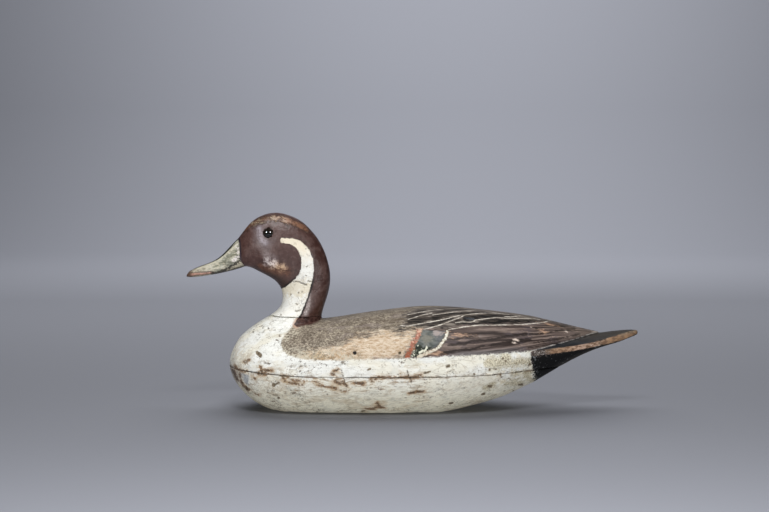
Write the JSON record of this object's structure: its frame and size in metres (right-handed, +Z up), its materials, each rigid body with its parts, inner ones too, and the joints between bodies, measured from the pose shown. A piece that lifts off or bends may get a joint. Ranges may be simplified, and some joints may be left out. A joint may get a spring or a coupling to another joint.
{
  "type": "pintail duck decoy",
  "caption": "Carved and painted wooden drake pintail decoy with an upright head, glass eyes and a long pointed tail; stands on its flat underside.",
  "frame": {"origin": "middle of the flat underside, halfway between the bill's tip and the tail's tip", "axes": "+X towards the tail, -X towards the bill, +Y to the duck's right side, +Z up"},
  "size_m": [0.445, 0.1524, 0.1934],
  "materials": {
    "white_paint": "aged cream-white oil paint on wood, flaked and scratched",
    "feather_paint": "brown, grey, buff and black oil paint on wood, worn",
    "head_paint": "dark brown and cream oil paint on wood, polished by handling",
    "eye_glass": "glossy dark glass"
  },
  "bodies": {
    "root": {"body_lower": "white_paint", "body_upper": "feather_paint", "head_and_neck": "head_paint", "eye_left": "eye_glass", "eye_right": "eye_glass"}
  },
  "joints": []
}
